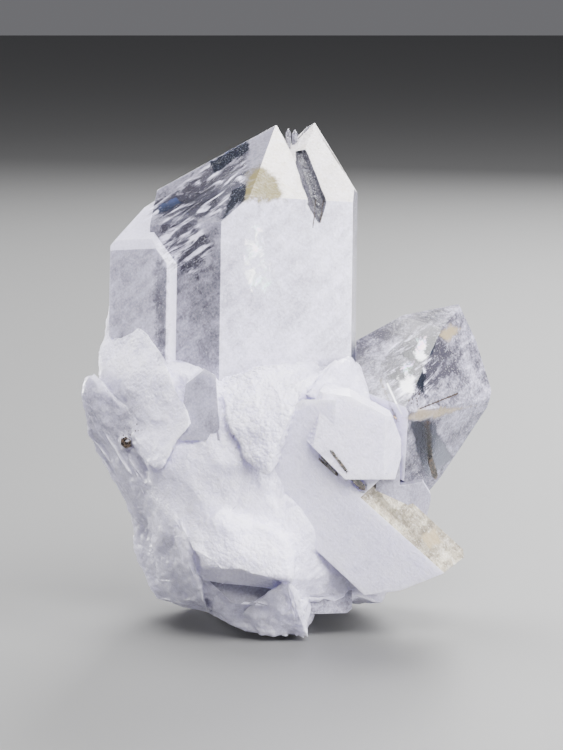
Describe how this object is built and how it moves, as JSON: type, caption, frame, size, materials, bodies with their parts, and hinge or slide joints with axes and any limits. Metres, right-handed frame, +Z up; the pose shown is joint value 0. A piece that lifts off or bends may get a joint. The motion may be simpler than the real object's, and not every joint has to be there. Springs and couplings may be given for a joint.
{
  "type": "brookite in quartz crystal cluster",
  "caption": "Clear to milky quartz crystal cluster on a broken base with dark brookite blades in and on it, standing on its flat underside.",
  "frame": {"origin": "bottom centre of the bounding box, on the surface it stands on", "axes": "+Z up along the main crystal, +X right and +Y away from the viewer, seen from the front"},
  "size_m": [0.0492, 0.0354, 0.0604],
  "materials": {
    "quartz": "clear to milky natural crystal faces, frosty white where broken",
    "brookite": "dark brown, bright metallic lustre"
  },
  "bodies": {
    "root": {"quartz_cluster": "quartz", "quartz_right_front": "quartz", "brookite_large_blade": "brookite", "brookite_thin_blade": "brookite", "brookite_long_streak": "brookite", "brookite_short_streak": "brookite", "brookite_left_crystal": "brookite"}
  },
  "joints": []
}
